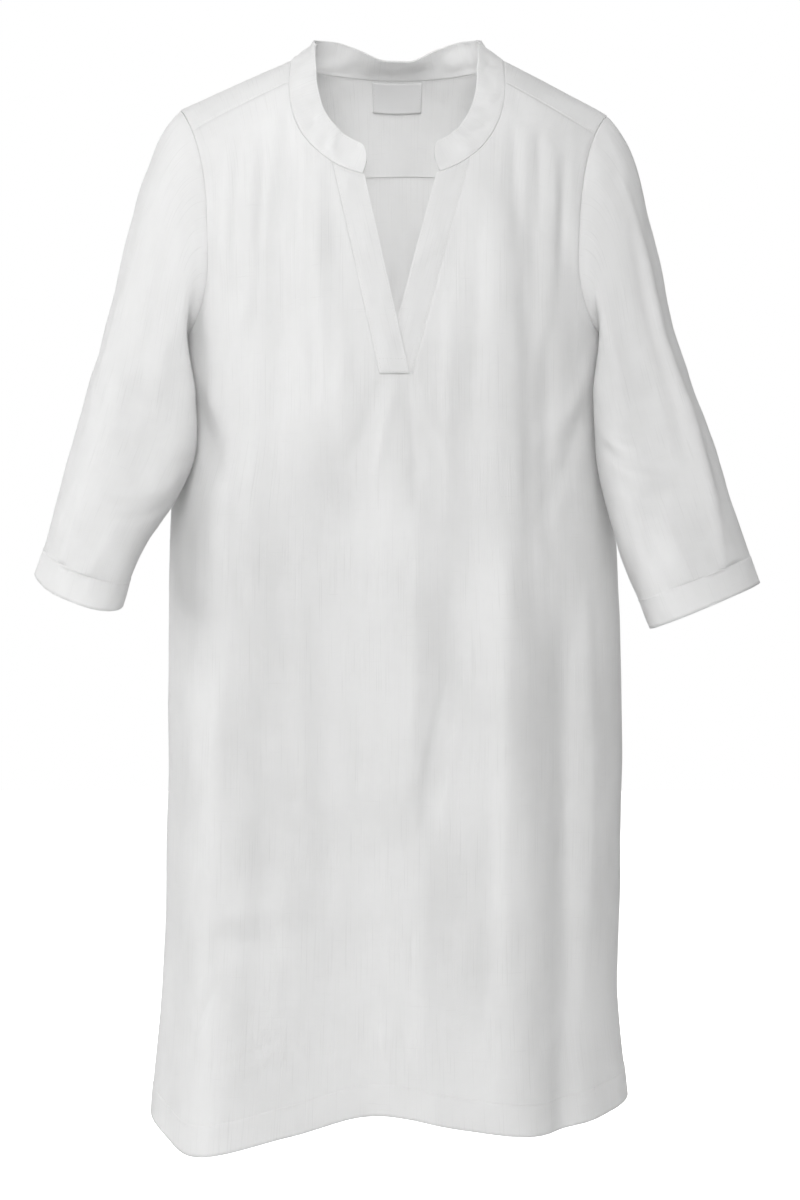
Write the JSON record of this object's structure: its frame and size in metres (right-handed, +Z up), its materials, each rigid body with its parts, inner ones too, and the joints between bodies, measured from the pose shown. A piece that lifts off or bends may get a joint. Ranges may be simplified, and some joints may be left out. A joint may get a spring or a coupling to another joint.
{
  "type": "tunic dress",
  "caption": "Knee-length white linen tunic dress in its worn, hollow form, with a low band collar over a V slit, a shoulder yoke, set-in three-quarter sleeves and turned hems.",
  "frame": {"origin": "at the base of the neck, midway between the two points where the neck seam meets the shoulder ridge, which is where the wearer's shoulders and neck hold the dress", "axes": "+Z up, -Y the front of the dress, +X the viewer's right when the front is looked at"},
  "size_m": [0.649, 0.2932, 1.0177],
  "materials": {
    "linen": "matt plain-weave linen with uneven slub threads and a soft, slightly creased drape",
    "label": "smooth white woven satin ribbon, bare"
  },
  "bodies": {
    "root": {"front_panel": "linen", "back_panel": "linen", "yoke": "linen", "sleeve_left": "linen", "sleeve_right": "linen", "neckband": "linen", "placket_left": "linen", "placket_right": "linen", "neck_label": "label"}
  },
  "joints": []
}
